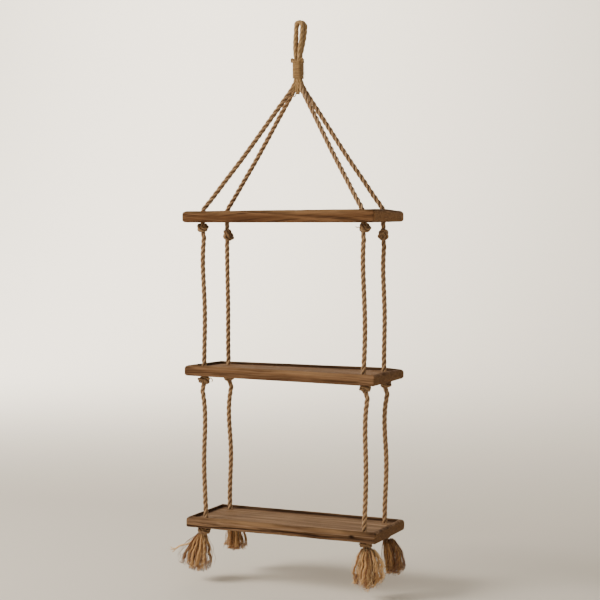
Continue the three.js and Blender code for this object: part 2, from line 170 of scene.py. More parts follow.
# Each tassel: where its neck lies beside its hole, half its width at the neck, how far its belly and its
# tips lean, half their widths at the curve's middle and end points, its length, how much shorter it is
# at its left side, its crimp, its number of strands, the range of its tones and its seed.
TASSELS = {
    "front_left": dict(
        neck=-12, root=10, belly_lean=-11, tip_lean=-15, belly=38, tips=36,
        length=90, slope=0.11, crimp=1.9, strands=23, tones=(-0.1, 0.85), seed=3,
    ),
    "rear_left": dict(
        neck=10, root=17, belly_lean=3, tip_lean=3, belly=23, tips=23,
        length=59, slope=0.0, crimp=1.9, strands=22, tones=(0.05, 0.85), seed=8,
    ),
    "front_right": dict(
        neck=9, root=15, belly_lean=4, tip_lean=-1, belly=44, tips=25,
        length=93, slope=-0.03, crimp=3.2, strands=27, tones=(0.0, 1.55), seed=14,
    ),
    "rear_right": dict(
        neck=11, root=15, belly_lean=16, tip_lean=11, belly=27, tips=20,
        length=82, slope=0.0, crimp=1.2, strands=22, tones=(0.0, 0.7), seed=21,
    ),
}
TASSEL_BELLY_AT = 0.45
TASSEL_DEPTH_SHARE = 0.8
YARN_RADIUS = 1.35
YARN_TURN = 15.0

# The floor's height in metres, just under the tassels.
FLOOR_LEVEL = -1.305


def linked(name, data):
    """A new object with that data, put into the scene."""
    made = bpy.data.objects.new(name, data)
    bpy.context.scene.collection.objects.link(made)
    return made


def place_camera():
    """The camera at the photograph's viewpoint: turned about the upright, tipped down, rolled a little."""
    yaw = math.radians(25.58)
    pitch = math.radians(3.38)
    roll = math.radians(-0.451)
    level = math.cos(pitch)
    forward = np.array([-math.sin(yaw) * level, math.cos(yaw) * level, -math.sin(pitch)])
    right = np.array([math.cos(yaw), math.sin(yaw), 0.0])
    up = np.cross(right, forward)
    rolled_right = right * math.cos(roll) + up * math.sin(roll)
    rolled_up = up * math.cos(roll) - right * math.sin(roll)
    data = bpy.data.cameras.new("Camera")
    data.sensor_width = 36.0
    data.lens = 90.8
    pose = np.eye(4)
    pose[:3, 0] = rolled_right
    pose[:3, 1] = rolled_up
    pose[:3, 2] = -forward
    pose[:3, 3] = (1.527, -3.202, -0.4316)
    camera = linked("Camera", data)
    camera.matrix_world = Matrix(pose.tolist())
    bpy.context.scene.camera = camera


place_camera()


# Shapes


def smooth(value, low, high):
    """An eased step: 0 up to low, 1 from high on, and 3t^2 - 2t^3 between."""
    t = np.clip((np.asarray(value, float) - low) / (high - low), 0, 1)
    return t * t * (3 - 2 * t)


def unit(vectors):
    return vectors / np.maximum(np.linalg.norm(vectors, axis=-1, keepdims=True), 1e-9)


def lengths_along(line):
    """The distance walked along a line of points up to each of them."""
    return np.concatenate([[0.0], np.cumsum(np.linalg.norm(np.diff(line[:, :3], axis=0), axis=1))])


def spaced(line, count):
    """The same line with count points at equal distances; every column is read off in proportion."""
    walked = lengths_along(line)
    marks = np.linspace(0, walked[-1], count)
    return np.stack([np.interp(marks, walked, line[:, k]) for k in range(line.shape[1])], 1)


def smooth_line(points, step):
    """The cubic curve through all the points whose bend never jumps, with the chords as its parameter.

    Its second derivatives solve the usual three-term rows of a natural cubic spline; the curve is then
    read off finely and spaced evenly, one point every step. Columns after the third, such as the
    radius, are carried along in a straight line from point to point.
    """
    points = np.asarray(points, float)
    at = lengths_along(points)
    gap = np.diff(at)
    count = len(points)
    rows = np.eye(count)
    inner = np.arange(1, count - 1)
    rows[inner, inner - 1] = gap[:-1]
    rows[inner, inner] = 2 * (gap[:-1] + gap[1:])
    rows[inner, inner + 1] = gap[1:]
    slope = np.diff(points[:, :3], axis=0) / gap[:, None]
    rise = np.zeros((count, 3))
    rise[1:-1] = 6 * np.diff(slope, axis=0)
    bend = np.linalg.solve(rows, rise)
    fine = np.linspace(0, at[-1], int(at[-1] / 0.5))
    k = np.clip(np.searchsorted(at, fine, side="right") - 1, 0, count - 2)
    before = (fine - at[k])[:, None]
    after = (at[k + 1] - fine)[:, None]
    width = gap[k][:, None]
    curve = (bend[k] * after**3 + bend[k + 1] * before**3) / (6 * width)
    curve += (points[k, :3] / width - bend[k] * width / 6) * after
    curve += (points[k + 1, :3] / width - bend[k + 1] * width / 6) * before
    carried = [np.interp(fine, at, points[:, column]) for column in range(3, points.shape[1])]
    full = np.column_stack([curve, *carried])
    return spaced(full, int(lengths_along(full)[-1] / step) + 1)


def turn_between(first, then):
    """The quaternion of the shortest turn from one direction to the next: (1 + a.b, a x b), made unit."""
    return unit(np.concatenate([1 + (first * then).sum(-1, keepdims=True), np.cross(first, then)], -1))


def turn_after(later, earlier):
    """The quaternion product, the earlier turn first."""
    w1, v1 = later[..., :1], later[..., 1:]
    w2, v2 = earlier[..., :1], earlier[..., 1:]
    real = w1 * w2 - (v1 * v2).sum(-1, keepdims=True)
    return np.concatenate([real, w1 * v2 + w2 * v1 + np.cross(v1, v2)], -1)


def carried_frames(lines):
    """Two directions across each line at every point, carried along it without turning about it.

    The small turns between neighbouring directions are multiplied up by doubling: after each pass an
    entry holds twice as many of the turns before it, so a few passes give every running product.
    """
    ahead = unit(np.gradient(lines, axis=1))
    turns = turn_between(ahead[:, :-1], ahead[:, 1:])
    reach = 1
    while reach < turns.shape[1]:
        longer = turns.copy()
        longer[:, reach:] = turn_after(turns[:, reach:], turns[:, :-reach])
        turns = longer
        reach *= 2
    start = ahead[:, :1]
    guide = np.where(np.abs(start[..., :1]) < 0.8, [[[1.0, 0, 0]]], [[[0, 1.0, 0]]])
    side = unit(guide - (guide * start).sum(-1, keepdims=True) * start)
    spin = 2 * np.cross(turns[..., 1:], np.broadcast_to(side, turns[..., 1:].shape))
    moved = side + turns[..., :1] * spin + np.cross(turns[..., 1:], spin)
    across = np.concatenate([side, moved], 1)
    across = unit(across - (across * ahead).sum(-1, keepdims=True) * ahead)
    return across, np.cross(ahead, across)


def around(across, over, angle):
    """The direction that stands off a line at an angle round it: across cos + over sin."""
    return across * np.cos(angle)[..., None] + over * np.sin(angle)[..., None]


def tubes(lines, radii, ring, twist):
    """Closed tubes along many lines at once: point = centre + radius * ring(a) * (across cos + over sin).

    lines is tubes by stations by 3, radii tubes by stations, ring the section's radius at each of its
    corners, the same all along or one row a station, and twist the angle by which the section is
    turned at each station. Each end is closed by a fan round its middle. Returns the points, the four-
    and three-sided faces, and the angle of each point of the skin, twist included.
    """
    count, stations, _ = lines.shape
    sides = ring.shape[-1]
    across, over = carried_frames(lines)
    angle = 2 * np.pi * np.arange(sides) / sides + twist[..., None]
    reach = (radii[..., None] * ring)[..., None]
    skin = lines[:, :, None] + reach * around(across[:, :, None], over[:, :, None], angle)
    points = np.concatenate([skin.reshape(-1, 3), lines[:, 0], lines[:, -1]])
    number = np.arange(count * stations * sides).reshape(count, stations, sides)
    beside = np.roll(number, -1, axis=2)
    walls = np.stack([number[:, :-1], beside[:, :-1], beside[:, 1:], number[:, 1:]], -1).reshape(-1, 4)
    hubs = count * stations * sides + np.arange(2 * count).reshape(2, count, 1)
    first = np.stack([np.broadcast_to(hubs[0], (count, sides)), beside[:, 0], number[:, 0]], -1)
    last = np.stack([np.broadcast_to(hubs[1], (count, sides)), number[:, -1], beside[:, -1]], -1)
    ends = np.concatenate([first.reshape(-1, 3), last.reshape(-1, 3)])
    return points, [walls, ends], angle


def single_tube(line, radii, oval, lay):
    """One closed tube along a line: a slightly oval section of eight corners, turned once in each lay."""
    ring = 1 + oval * np.cos(2 * 2 * np.pi * np.arange(8) / 8)
    points, faces, _ = tubes(line[None], radii[None], ring, (2 * np.pi * lengths_along(line) / lay)[None])
    return points, faces


def per_point(values, stations, sides):
    """A value for each tube as a value for each point, in the order in which tubes gives its points."""
    return np.concatenate([np.repeat(values, stations * sides), values, values])


def joined(parts):
    """The points and faces of several meshes as those of one."""
    points, faces, start = [], [], 0
    for placed, groups in parts:
        points.append(placed)
        faces += [group + start for group in groups]
        start += len(placed)
    return np.concatenate(points), faces


def three_strand_ring(sides):
    """Section of a three-strand rope: three round strands that press on each other.

    A strand of radius s sits with its middle 1 - s from the rope's middle; towards an angle a from the
    nearest strand the outline reaches (1 - s) cos a + sqrt(s^2 - (1 - s)^2 sin^2 a).
    """
    angle = 2 * np.pi * np.arange(sides) / sides
    off = (angle + np.pi / 3) % (2 * np.pi / 3) - np.pi / 3
    inset = 1 - STRAND_SHARE
    return inset * np.cos(off) + np.sqrt(STRAND_SHARE**2 - (inset * np.sin(off)) ** 2)


def tightened_knot():
    """The middle line of an overhand knot pulled tight, in rope diameters, along Z.

    It starts as an open trefoil with straight leads. Each round pulls every point halfway towards the
    middle of its neighbours, then pushes apart the points that lie closer than one diameter though they
    are further along the rope; the two ends are held on the axis.
    """
    t = np.linspace(0.22, 2 * np.pi - 0.22, 64)
    wide = 1.25 + 0.75 * np.cos(3 * t)
    turn = np.stack([wide * np.cos(2 * t), wide * np.sin(2 * t), 0.75 * np.sin(3 * t)], 1)
    lead = np.array([[0, 0, -3.2], [0.5, 0.2, -2.2], [1.4, 0.6, -1.4], [2.0, 0.7, -0.5]])
    line = spaced(np.concatenate([lead, turn, lead[::-1] * [1, -1, -1]]), 90)
    apart = np.abs(np.subtract.outer(np.arange(90), np.arange(90)))
    for _ in range(600):
        step = lengths_along(line)[-1] / 89
        far = apart > math.ceil(1.35 / step)
        line[1:-1] = 0.5 * line[1:-1] + 0.25 * (line[:-2] + line[2:])
        for _ in range(2):
            offset = line[:, None] - line[None]
            distance = np.linalg.norm(offset, axis=2) + 1e-9
            push = np.clip(1 - distance, 0, None) * far
            line = line + 0.3 * (offset / distance[..., None] * push[..., None]).sum(1)
        line[[0, -1]] = [[0, 0, -3.2], [0, 0, 3.2]]
        line[[1, -2], :2] = 0
        line = spaced(line, 90)
    return line


def knot_points(knot, height, width, turn, push, radius):
    """The tightened knot, top first, scaled, turned about its axis and pushed sideways.

    The push is whole at half height and fades as 1 - (2z / height)^2 towards both ends, where the rope
    also draws in to the axis.
    """
    middle = knot[np.abs(knot[:, 2]) < 2.4][::-1]
    reach = np.abs(middle[:, :2]).max()
    lobes = np.abs(middle[np.hypot(middle[:, 0], middle[:, 1]) > 0.35, 2]).max()
    flat = (width / 2 - radius) / reach
    tall = (height / 2 - radius * 0.8) / lobes
    scaled = middle * [flat, flat, tall]
    angle = math.radians(turn)
    cos, sin = math.cos(angle), math.sin(angle)
    x, y, z = scaled.T
    fade = np.clip(1 - (2 * z / height) ** 2, 0, 1)
    kept = 1 - 0.8 * smooth(np.abs(z), height / 2 - 5, height / 2 + 1.5)
    return np.stack([(x * cos - y * sin) * kept + push * fade, (x * sin + y * cos) * kept, z], 1)


def knot_top(leg, board):
    """The height at which a knot starts under its board."""
    return BOARD_CENTRES_Z[board] - BOARD_THICKNESS[board] / 2 - TOUCH_GAP - KNOTS[leg, board][0]


def leg_route(leg, knot):
    """One leg of a rope from the binding down to its tassel: points with the rope's radius at each."""
    side, y, row = LEGS[leg]
    x = side * HOLE_OUT_X
    start = np.array([side * BUNDLE_OFFSET, BINDING_Y + row * BUNDLE_OFFSET])
    hole = np.array([x, y])
    route = [[*start, -110.0, BOUND_ROPE_RADIUS]]
    for z, spread in SLANT:
        squeezed = smooth(z, SLANT_FULL_FROM, SLANT_SQUEEZED_TO)
        radius = ROPE_RADIUS - (ROPE_RADIUS - BOUND_ROPE_RADIUS) * squeezed
        route.append([*(start + (hole - start) * spread), z, radius])
    for board in ("top", "middle", "bottom"):
        _, height, width, turn, push = KNOTS[leg, board]
        start_z = knot_top(leg, board)
        if board != "top":
            leaving, halfway = RUNS[leg, board]
            board_top = BOARD_CENTRES_Z[board] + BOARD_THICKNESS[board] / 2
            route.append([x + leaving * KNOT_EXIT_SHARE, y, below - 3.0, ROPE_RADIUS])
            route.append([x + leaving, y, below - KNOT_EXIT_DROP, ROPE_RADIUS])
            route.append([x + halfway, y, (below + start_z) / 2, ROPE_RADIUS])
            route.append([x, y, board_top + HOLE_ENTRY_RISE, ROPE_RADIUS])
        route.append([x, y, start_z + 8.0, ROPE_RADIUS])
        turned = knot_points(knot, height, width, turn, push, KNOT_ROPE_RADIUS)
        turned = turned[np.abs(turned[:, 2]) < height / 2 + 1.5]
        turned += [x, y, start_z - height / 2]
        route.extend([*point, KNOT_ROPE_RADIUS] for point in turned)
        below = start_z - height
    route.append([x + TASSELS[leg]["neck"], y, below - 5.0, 5.6])
    return np.array(route)


def loop_route(name):
    """The loop of one rope: up its left leg, over the hook and down its right leg."""
    row, crown, legs = LOOPS[name]
    crown_z = LOOP_ROPE_RADIUS - crown
    arc = np.pi * (1 - np.linspace(0, 1, 9))
    half = [BUNDLE_OFFSET, *[x for _, x in legs]]
    level = [-96.0, *[z for z, _ in legs]]
    x = np.concatenate([-np.array(half), crown * np.cos(arc), half[::-1]])
    z = np.concatenate([level, crown_z + crown * np.sin(arc), level[::-1]])
    lean = BINDING_Y * (1 - smooth(z, BINDING_TOP, 0))
    full = smooth(z, LOOP_SQUEEZED_FROM, LOOP_FULL_TO)
    offset = BUNDLE_OFFSET + (LOOP_ROW_OFFSET - BUNDLE_OFFSET) * full
    radius = BOUND_ROPE_RADIUS + (LOOP_ROPE_RADIUS - BOUND_ROPE_RADIUS) * full
    return np.stack([x, lean + row * offset, z, radius], 1)


def rope_line(name, knot):
    """A whole rope: up from its left tassel, over the hook and down to its right tassel."""
    left = leg_route(f"{name}_left", knot)[::-1]
    right = leg_route(f"{name}_right", knot)
    return smooth_line(np.concatenate([left, loop_route(name), right]), ROPE_STEP)


def binding_line(level, out, tilt=0.0, tilt_at=0.0):
    """Twine round the four bundled legs, one point per entry of the running angle of level's first row.

    The wound outline is that of four circles in a square: the circle's own point, out from its middle,
    plus the corner's middle, which changes over quickly where the outline is flat. The height follows
    level's second row, with an optional tilt of that height once round.
    """
    angle, z = level
    x = out * np.cos(angle) + BUNDLE_OFFSET * np.tanh(9 * np.cos(angle))
    y = out * np.sin(angle) + BUNDLE_OFFSET * np.tanh(9 * np.sin(angle)) + BINDING_Y
    return np.stack([x, y, z + tilt * np.cos(angle - tilt_at)], 1)


def grain_relief(x, along, seed):
    """Brushed grain as a height: hard ridges that run along X and wander slowly.

    A random row of heights is read at the distance round the section, after that distance has been
    shifted by slow waves of x, so that ridges meander together and pinch round one or two knots.
    """
    source = np.random.default_rng(seed)
    table = source.normal(size=900)
    table = np.convolve(table, [0.25, 0.5, 0.25], "same")
    spread = 1.6 * np.sin(x / 61 + source.uniform(0, 6)) + 0.9 * np.sin(x / 23 + source.uniform(0, 6))
    for _ in range(3):
        centre = source.uniform(-200, 200)
        level = source.uniform(0, along.max())
        near = np.exp(-(((x - centre) / 26) ** 2) - ((along - level) / 9) ** 2)
        spread = spread + 4.0 * near * np.sign(along - level)
    read = (along + spread) / 0.8 + 60
    fine = np.interp(read, np.arange(900), table)
    coarse = np.interp(read / 2.5 + 300, np.arange(900), table)
    return 0.55 * fine + 0.75 * coarse


def board_stations(board):
    """Places along X for the board's sections: close together at the ends and at the tray's walls."""
    half = BOARD_WIDTH[board] / 2
    wall = half - RIM_WIDTH
    easing = END_ROUND_UPPER * (1 - np.cos(np.linspace(0, 1.2, 9)))
    easing = np.append(easing, [7.2, 8.2])
    outer = np.concatenate([half - easing, wall - TRAY_WALL_STEPS, [wall - 2.2, wall - 4.5]])
    inner = np.linspace(-(wall - 7.5), wall - 7.5, 127)
    return np.concatenate([-outer, inner, outer[::-1]])


def lower_edge(middle, radius, angle, top):
    """Points of a lower edge's round, whose middle has that y and lies a radius above the underside."""
    return np.stack([middle + radius * np.cos(angle), -top + radius + radius * np.sin(angle)], 1)


def board_outline(board):
    """The board's closed section as (y, z, distance round it): over the top to the back, then below."""
    half = BOARD_DEPTH / 2
    top = BOARD_THICKNESS[board] / 2
    wall = half - RIM_WIDTH
    upper = EDGE_ROUND_UPPER
    outer = half - upper + upper * np.cos(np.linspace(0, math.acos((upper - RIM_WIDTH) / upper), 13))
    inner = np.append(wall - TRAY_WALL_STEPS[1:], wall - 2.5)
    floor = np.linspace(-(wall - 5), wall - 5, 31)
    y = np.concatenate([-outer, -inner, floor, inner[::-1], outer[::-1]])
    z = top - upper + np.sqrt(np.maximum(upper**2 - np.maximum(np.abs(y) - (half - upper), 0) ** 2, 0))
    back = np.linspace(0, -np.pi / 2, 7)
    low_back = lower_edge(half - EDGE_ROUND_LOWER_BACK, EDGE_ROUND_LOWER_BACK, back, top)
    front = np.linspace(-np.pi / 2, -np.pi, 6)
    low_front = lower_edge(-half + EDGE_ROUND_LOWER_FRONT, EDGE_ROUND_LOWER_FRONT, front, top)
    under = np.stack([np.linspace(half - 13, -half + 8, 26), np.full(26, -top)], 1)
    rise = np.linspace(-top + 4.9, top - upper - 0.7, 16)
    face = np.stack([np.full(16, -half), rise], 1)
    closed = np.concatenate([np.stack([y, z], 1), low_back, under, low_front, face])
    return np.column_stack([closed, lengths_along(closed)])


def board_warp(board, x, y):
    """How a board departs from a straight one: the factor on its thickness, and how far it is lifted.

    The factor grows in a straight line from left to right. The lift is whole at the front left corner
    and falls off to nothing along both sides, as the product of the two straight lines.
    """
    to_right = x / (BOARD_WIDTH[board] / 2)
    to_back = y / (BOARD_DEPTH / 2)
    return 1 + BOARD_WEDGE[board] * to_right, CORNER_LIFT[board] * (1 - to_right) * (1 - to_back) / 4


def quarter_inset(from_end, radius):
    """How far a quarter circle lies inside its square corner: radius (1 - sqrt(1 - (1 - d / radius)^2))."""
    share = np.clip(1 - from_end / radius, 0, 1)
    return radius * (1 - np.sqrt(np.clip(1 - share**2, 0, 1)))


def board_mesh(board):
    """A board as one closed surface: its section swept along X, with the tray pressed into its top.

    Points on top are drawn in towards the tray's corners so that its walls, which follow rows of
    points, turn the corner on an arc: inside the corner square an offset keeps its direction and takes
    its larger part as its length, and the pull fades to nothing at the outer edge. The tray is a drop
    from the section's height to the floor over the wall's lean. Near the two ends the section narrows
    along a quarter circle, which rounds the upright corners, and a worn corner sinks in proportion to
    the height. Returns the points, the faces, the two ends and each point's height in the grain.
    """
    half_x = BOARD_WIDTH[board] / 2
    half_y = BOARD_DEPTH / 2
    top = BOARD_THICKNESS[board] / 2
    outline = board_outline(board)
    x, k = np.meshgrid(board_stations(board), np.arange(len(outline)), indexing="ij")
    y, z, along = outline[k].transpose(2, 0, 1)
    on_top = z > top - EDGE_ROUND_UPPER + 0.01
    off_x = np.abs(x) - (half_x - RIM_WIDTH - TRAY_CORNER)
    off_y = np.abs(y) - (half_y - RIM_WIDTH - TRAY_CORNER)
    corner = on_top & (off_x > 0) & (off_y > 0)
    larger = np.maximum(off_x, off_y)
    direct = np.maximum(np.hypot(off_x, off_y), 1e-6)
    fade = np.clip((larger - TRAY_CORNER) / RIM_WIDTH, 0, 1)
    pull = np.where(corner, larger / direct * (1 - fade) + fade, 1.0)
    drop = smooth(TRAY_CORNER - larger, 0, TRAY_WALL_LEAN) * on_top
    new_x = np.where(corner, np.sign(x) * (half_x - RIM_WIDTH - TRAY_CORNER + off_x * pull), x)
    new_y = np.where(corner, np.sign(y) * (half_y - RIM_WIDTH - TRAY_CORNER + off_y * pull), y)
    arc = np.maximum(np.abs(new_y) - (half_y - EDGE_ROUND_UPPER), 0)
    raised = top - EDGE_ROUND_UPPER + np.sqrt(np.maximum(EDGE_ROUND_UPPER**2 - arc**2, 0))
    new_z = np.where(on_top, raised, z)
    from_end = half_x - np.abs(new_x)
    upper = quarter_inset(from_end, END_ROUND_UPPER)
    lower = quarter_inset(from_end, np.where(new_x < 0, *END_ROUND_LOWER[board]))
    push_y = np.gradient(new_z, axis=1)
    push_z = -np.gradient(new_y, axis=1)
    long = np.maximum(np.hypot(push_y, push_z), 1e-6)
    quiet = smooth(from_end, 0, 6) * (1 - drop)
    height = grain_relief(new_x, along + GRAIN_SLOPE[board] * new_x, GRAIN_SEED[board])
    relief = GRAIN_RELIEF[board] * height * quiet
    lift = relief - 0.4 * GRAIN_RELIEF[board] * quiet
    new_y = new_y - push_y / long * lift
    new_z = new_z - push_z / long * lift
    new_z = np.clip(new_z, -top + lower, top - upper)
    sunk = CORNER_SUNK[board] * smooth(new_y, *CORNER_SUNK_ALONG_Y)
    sunk = sunk * smooth(new_x, half_x - CORNER_SUNK_LENGTH, half_x)
    new_z = new_z - sunk * (new_z + top) / (2 * top)
    floor = top - TRAY_DEPTH
    new_z = np.where(on_top, new_z + (floor - new_z) * drop, new_z)
    new_y = new_y * (1 - quarter_inset(from_end, CORNER_ROUND[board]) / half_y)
    thicker, lifted = board_warp(board, new_x, new_y)
    new_z = new_z * thicker + lifted
    count, sides = x.shape
    number = np.arange(count * sides).reshape(count, sides)
    beside = np.roll(number, -1, axis=1)
    walls = np.stack([number[:-1], number[1:], beside[1:], beside[:-1]], -1).reshape(-1, 4)
    points = np.stack([new_x, new_y + BOARD_CENTRE_Y, new_z + BOARD_CENTRES_Z[board]], -1).reshape(-1, 3)
    return points, walls, [number[0][::-1].tolist(), number[-1].tolist()], (height * (1 - drop)).ravel()


# Pieces


def mesh_object(name, points, faces):
    """An object in the scene from points in metres and lists or arrays of faces."""
    mesh = bpy.data.meshes.new(name)
    listed = [face for group in faces for face in np.asarray(group).tolist()]
    mesh.from_pydata(points.tolist(), [], listed)
    mesh.update()
    mesh.shade_smooth()
    return linked(name, mesh)


def set_numbers(mesh, numbers):
    """Stores each named number, or direction of three numbers, on the mesh's points."""
    for label, values in numbers.items():
        wide = values.ndim == 2
        column = mesh.attributes.new(label, "FLOAT_VECTOR" if wide else "FLOAT", "POINT")
        column.data.foreach_set("vector" if wide else "value", values.astype(np.float32).ravel())


def add_piece(name, points, faces, material, slot, nodes, numbers):
    """Puts points in millimetres and their faces into a mesh with its numbers and hangs it on the part."""
    piece = mesh_object(name, points / 1000, faces)
    set_numbers(piece.data, numbers)
    piece.data.materials.append(material)
    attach(piece, "root")
    if nodes:
        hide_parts(*nodes)
    return piece


def cut(piece, cutter):
    """Takes the cutter out of the piece and keeps only the result."""
    saw = piece.modifiers.new("holes", "BOOLEAN")
    saw.operation = "DIFFERENCE"
    saw.solver = "EXACT"
    saw.object = cutter
    graph = bpy.context.evaluated_depsgraph_get()
    result = bpy.data.meshes.new_from_object(piece.evaluated_get(graph))
    piece.modifiers.remove(saw)
    old = piece.data
    piece.data = result
    bpy.data.meshes.remove(old)
    used = cutter.data
    bpy.data.objects.remove(cutter)
    bpy.data.meshes.remove(used)


def drills(board):
    """Four upright round rods where the ropes go through a board."""
    z = BOARD_CENTRES_Z[board]
    levels = (z - 30, z, z + 30)
    lines = np.array([[[side * HOLE_OUT_X, y, level] for level in levels] for side, y, _ in LEGS.values()])
    points, faces, _ = tubes(lines, np.full((4, 3), HOLE_RADIUS), np.ones(28), np.zeros((4, 3)))
    return mesh_object("drills", points / 1000, faces)


def board_numbers(mesh, board):
    """Each point's share of the painted shade by the tray's walls, of the tray's floor that is painted
    lighter, of the rim's wear, of end grain and of the scar.
    """
    at = np.empty(len(mesh.vertices) * 3, np.float32)
    mesh.vertices.foreach_get("co", at)
    x, y, z = (at.reshape(-1, 3) * 1000).T
    y = y - BOARD_CENTRE_Y
    thicker, lifted = board_warp(board, x, y)
    z = (z - BOARD_CENTRES_Z[board] - lifted) / thicker
    half_x = BOARD_WIDTH[board] / 2
    half_y = BOARD_DEPTH / 2
    top = BOARD_THICKNESS[board] / 2
    from_wall = np.minimum(half_x - RIM_WIDTH - np.abs(x), half_y - RIM_WIDTH - np.abs(y))
    below_rim = top - z
    inside = smooth(from_wall, -0.6, 0.6) * smooth(below_rim, 0.4, 2.5) * (z > 0)
    # Painted shade: the tray close to its walls, which the finish darkens.
    painted_wall_shade = inside * (1 - smooth(from_wall, 1.0, 14))
    # The tray's floor away from its walls, which the finish paints lighter as painted light.
    floor = inside * smooth(from_wall, 1.0, 12)
    edge_y = half_y - np.abs(y)
    rim = (1 - smooth(np.abs(edge_y - 4.5), 1.5, 6.5)) * (z > 4) * (1 - inside)
    end = smooth(np.abs(x), half_x - 2.6, half_x - 0.8)
    rim = rim * (1 - smooth(np.abs(x), half_x - 30, half_x - 8))
    from_knot = np.hypot((x - SCAR_PLACE[0]) / SCAR_SIZE[0], (z - SCAR_PLACE[1]) / SCAR_SIZE[1])
    scar = (1 - smooth(from_knot, 0.45, 1.25)) * (y < 0) * (edge_y < 6) * (board == "bottom")
    return {"painted_wall_shade": painted_wall_shade, "floor": floor, "wear": rim, "end": end, "scar": scar}


def strand_lines(root, control, tip, wave, waves, source, stations):
    """Drooping yarns, many at once: parabolas from root to tip with a wave that grows from the root.

    point(t) = (1 - t)^2 root + 2 t (1 - t) control + t^2 tip, plus the wave's sine and cosine across it.
    """
    t = np.linspace(0, 1, stations)[None, :, None]
    line = (1 - t) ** 2 * root[:, None] + 2 * t * (1 - t) * control[:, None] + t**2 * tip[:, None]
    phase = source.uniform(0, 2 * np.pi, (len(root), 1, 1))
    turn = source.uniform(0, 2 * np.pi, (len(root), 1, 1))
    swing = wave[:, None, None] * np.sqrt(t) * np.sin(2 * np.pi * waves[:, None, None] * t + phase)
    lean = 0.6 * wave[:, None, None] * t * np.cos(2 * np.pi * 0.7 * waves[:, None, None] * t + turn)
    line[..., :1] += swing * np.cos(turn) + lean * np.sin(turn)
    line[..., 1:2] += swing * np.sin(turn) - lean * np.cos(turn)
    return line


def tassel_neck(leg):
    """The middle of a tassel's neck, at the underside of the knot that holds it."""
    side, y, _ = LEGS[leg]
    height = KNOTS[leg, "bottom"][1]
    top = BOARD_CENTRES_Z["bottom"] - BOARD_THICKNESS["bottom"] / 2 - 2 * TOUCH_GAP - height
    return np.array([side * HOLE_OUT_X + TASSELS[leg]["neck"], y, top])


def tassel_yarns(leg, source):
    """All yarns and loose fibres of one tassel: their lines, radii and tones.

    Each unlaid strand is a drooping line with three yarns that wind loosely round it; the yarns part
    towards the tip. The loose fibres droop singly and stray further.
    """
    shape = TASSELS[leg]
    groups = []
    for count, wild, stations in ((shape["strands"], 0.05, 27), (shape["strands"] * 6, 0.14, 13)):
        place = np.arange(count) + 0.5
        out = np.sqrt(place / count)
        angle = place * np.pi * (3 - math.sqrt(5)) + source.normal(0, 0.25, count)
        round_x = out * np.cos(angle)
        round_y = out * np.sin(angle) * TASSEL_DEPTH_SHARE
        root = np.stack([round_x, round_y, np.zeros(count)], 1) * shape["root"]
        root[:, 2] = source.uniform(-1.0, 4.0, count) - 3.0 * out
        ragged = source.uniform(0, 0.16, count)
        drop = shape["length"] * (0.97 - 0.17 * out**2 + shape["slope"] * round_x - ragged)
        blow = 1 + source.normal(0, 2 * wild, count)
        flat = np.stack([round_x * blow, round_y * blow], 1)
        tip = np.column_stack([flat * shape["tips"] + [shape["tip_lean"], -3], -5 - drop])
        belly = flat * shape["belly"] + [shape["belly_lean"], -2]
        control = np.column_stack([belly, -5 - drop * TASSEL_BELLY_AT])
        tip[:, :2] += source.normal(0, 2.2 * shape["crimp"], (count, 2))
        control[:, :2] += source.normal(0, 4.5, (count, 2))
        wave = shape["crimp"] * source.uniform(0.6, 1.6, count)
        waves = source.uniform(1.6, 3.2, count) * shape["length"] / 84
        lines = strand_lines(root, control, tip, wave, waves, source, stations) + tassel_neck(leg)
        tone = source.uniform(*shape["tones"], count)
        groups.append((lines, tone, stations))
    strands, tone, stations = groups[0]
    down = np.linspace(0, 1, stations)
    across, over = carried_frames(strands)
    walked = np.linspace(0, shape["length"], stations)
    yarns, yarn_tone = [], []
    for third in range(3):
        wound = 2 * np.pi * (walked / YARN_TURN + third / 3) + source.uniform(0, 0.6, (len(strands), 1))
        apart = (1.2 + 3.6 * down**3)[None, :, None] * source.uniform(0.7, 1.3, (len(strands), 1, 1))
        yarns.append(strands + apart * around(across, over, wound))
        yarn_tone.append(tone + source.normal(0, 0.08, len(tone)))
    yarns = np.concatenate(yarns)
    radii = YARN_RADIUS * source.uniform(0.8, 1.2, (len(yarns), 1)) * (1 - 0.35 * down**3)
    loose, loose_tone, stations = groups[1]
    fine = 0.45 * source.uniform(0.7, 1.3, (len(loose), 1)) * np.linspace(1, 0.5, stations)
    return [(yarns, radii, np.concatenate(yarn_tone)), (loose, fine, loose_tone + 0.1)]


def add_tassel(leg, material):
    """A tassel as one piece: every yarn and fibre a closed thin tube of four sides."""
    source = np.random.default_rng(TASSELS[leg]["seed"])
    parts, tones, spots = [], [], []
    for lines, radii, tone in tassel_yarns(leg, source):
        count, stations, _ = lines.shape
        parts.append(tubes(lines, radii, np.ones(4), np.linspace(0, 5, stations) * np.ones((count, 1)))[:2])
        tones.append(per_point(tone, stations, 4))
        down = np.repeat(np.tile(np.linspace(0, 1, stations), count), 4)
        spots += [down, np.zeros(count), np.ones(count)]
    numbers = {"tone": np.concatenate(tones), "down": np.concatenate(spots)}
    add_piece(f"tassel_yarns_{leg}", *joined(parts), material, "tassel", [f"tassel_{leg}"], numbers)


